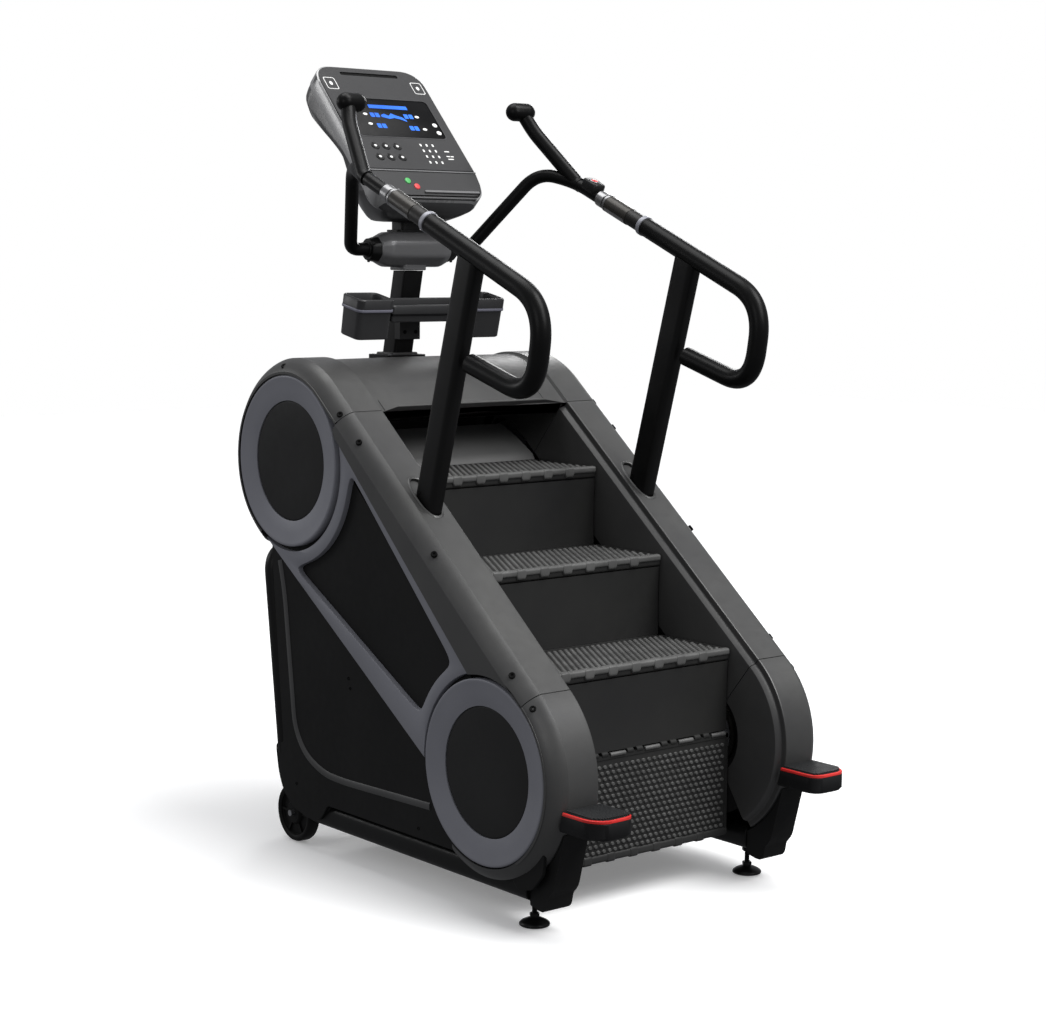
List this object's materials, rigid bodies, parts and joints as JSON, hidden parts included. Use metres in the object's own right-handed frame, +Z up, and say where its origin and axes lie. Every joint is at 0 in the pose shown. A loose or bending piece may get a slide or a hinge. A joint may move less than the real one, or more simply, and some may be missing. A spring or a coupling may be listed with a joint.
{
  "type": "stair climber exercise machine",
  "caption": "Revolving-staircase gym machine with ribbed treads between rounded side housings, D-shaped handrails, and a tilted console on a mast.",
  "frame": {"origin": "on the floor, under the middle of the machine's width and depth", "axes": "+X is the user's right, +Y is the way the user faces, from the step-off pads towards the console, and +Z is up"},
  "size_m": [0.854, 1.488, 2.017],
  "materials": {
    "shroud": "satin metallic charcoal",
    "slate_trim": "satin slate grey",
    "side_plastic": "fine-textured black",
    "black_steel": "satin black powder coat",
    "rail_black": "satin black, grained grips",
    "step_cast": "ribbed dark grey",
    "riser_plastic": "fine-textured charcoal",
    "pad_rubber": "ribbed black with a red edge line",
    "wheel_rubber": "matt black",
    "foot_steel": "satin black",
    "bare_steel": "turned",
    "chain_steel": "oiled",
    "belt_rubber": "matt",
    "alternator_case": "dark grey",
    "sensor_steel": "brushed",
    "pod_plastic": "satin black",
    "button_red": "gloss red",
    "key_green": "gloss green",
    "neck_plastic": "dark grey",
    "tray_plastic": "satin dark grey",
    "console_plastic": "satin mid grey",
    "display_black": "polished black window"
  },
  "bodies": {
    "frame": {"base_frame": "black_steel", "right_side_frame": "black_steel", "left_side_frame": "black_steel", "rear_hoop": "black_steel", "rear_panel": "side_plastic", "wheel_axle": "bare_steel", "right_slope_cover": "shroud", "left_slope_cover": "shroud", "right_lower_cover": "shroud", "left_lower_cover": "shroud", "crown_hood": "shroud", "right_upper_ring": "slate_trim", "left_upper_ring": "slate_trim", "right_lower_ring": "slate_trim", "left_lower_ring": "slate_trim", "right_trim_frame": "slate_trim", "left_trim_frame": "slate_trim", "right_side_panel": "side_plastic", "left_side_panel": "side_plastic", "right_front_leg": "side_plastic", "left_front_leg": "side_plastic", "right_foot_pad": "pad_rubber", "left_foot_pad": "pad_rubber", "right_step_chain": "chain_steel", "left_step_chain": "chain_steel", "drive_belt": "belt_rubber", "alternator": "alternator_case", "right_post": "black_steel", "left_post": "black_steel", "right_handrail": "rail_black", "left_handrail": "rail_black", "right_hand_sensor": "sensor_steel", "left_hand_sensor": "sensor_steel", "control_pod": "pod_plastic", "neck_housing": "neck_plastic", "mast": "black_steel", "accessory_tray": "tray_plastic", "console_shell": "console_plastic", "console_face": "console_plastic", "display_window": "display_black"},
    "flight": {"tread_2": "step_cast", "tread_3": "step_cast", "tread_4": "step_cast", "riser_2": "riser_plastic", "riser_3": "riser_plastic", "riser_4": "riser_plastic", "riser_5": "riser_plastic"},
    "folding_tread": {"tread_1": "step_cast"},
    "return_run": {"return_flight": "step_cast"},
    "drive_shaft": {"drive_shaft": "bare_steel"},
    "idler_shaft": {"idler_shaft": "bare_steel"},
    "rotor": {"alternator_rotor": "bare_steel"},
    "right_wheel": {"right_transport_wheel": "wheel_rubber"},
    "left_wheel": {"left_transport_wheel": "wheel_rubber"},
    "right_foot": {"right_levelling_foot": "foot_steel"},
    "left_foot": {"left_levelling_foot": "foot_steel"},
    "start_key": {"start_key": "key_green"},
    "stop_key": {"stop_key": "button_red"},
    "thumb_button": {"control_button": "button_red"}
  },
  "joints": [
    {"name": "stair_travel", "type": "slide", "parent": "frame", "child": "flight", "axis": [0, -0.7772, -0.6292], "range_m": [0, 0.06]},
    {"name": "tread_fold", "type": "hinge", "parent": "flight", "child": "folding_tread", "pos_m": [0, -0.455, 0.365], "axis": [1, 0, 0], "range_deg": [0, 17.5]},
    {"name": "return_travel", "type": "slide", "parent": "frame", "child": "return_run", "axis": [0, 0.7772, 0.6292], "range_m": [0, 0.061]},
    {"name": "drive_turn", "type": "hinge", "parent": "frame", "child": "drive_shaft", "pos_m": [0, 0.43221, 1.00087], "axis": [1, 0, 0], "range_deg": [0, 43]},
    {"name": "idler_turn", "type": "hinge", "parent": "frame", "child": "idler_shaft", "pos_m": [0, -0.373, 0.349], "axis": [1, 0, 0], "range_deg": [0, 43]},
    {"name": "rotor_turn", "type": "hinge", "parent": "frame", "child": "rotor", "pos_m": [0, 0.305, 0.52], "axis": [1, 0, 0], "range_deg": [0, 168]},
    {"name": "right_wheel_spin", "type": "hinge", "parent": "frame", "child": "right_wheel", "pos_m": [0.368, 0.469, 0.076], "axis": [1, 0, 0], "continuous": true},
    {"name": "left_wheel_spin", "type": "hinge", "parent": "frame", "child": "left_wheel", "pos_m": [-0.368, 0.469, 0.076], "axis": [1, 0, 0], "continuous": true},
    {"name": "right_foot_level", "type": "slide", "parent": "frame", "child": "right_foot", "axis": [0, 0, 1], "range_m": [-0.02, 0]},
    {"name": "left_foot_level", "type": "slide", "parent": "frame", "child": "left_foot", "axis": [0, 0, 1], "range_m": [-0.02, 0]},
    {"name": "start_press", "type": "slide", "parent": "frame", "child": "start_key", "axis": [0, 0.8406, -0.5417], "range_m": [0, 0.002], "stiffness_N_per_m": 600, "springref_m": -0.0005},
    {"name": "stop_press", "type": "slide", "parent": "frame", "child": "stop_key", "axis": [0, 0.8406, -0.5417], "range_m": [0, 0.002], "stiffness_N_per_m": 600, "springref_m": -0.0005},
    {"name": "thumb_press", "type": "slide", "parent": "frame", "child": "thumb_button", "axis": [0, 0.3939, -0.9191], "range_m": [0, 0.002], "stiffness_N_per_m": 600, "springref_m": -0.0005}
  ],
  "couplings": [
    {"joint": "tread_fold", "follows": "stair_travel", "rad_per_m": 4.863},
    {"joint": "return_travel", "follows": "stair_travel", "ratio": 1},
    {"joint": "drive_turn", "follows": "stair_travel", "rad_per_m": 12.2},
    {"joint": "idler_turn", "follows": "stair_travel", "rad_per_m": 12.2},
    {"joint": "rotor_turn", "follows": "stair_travel", "rad_per_m": 48}
  ]
}
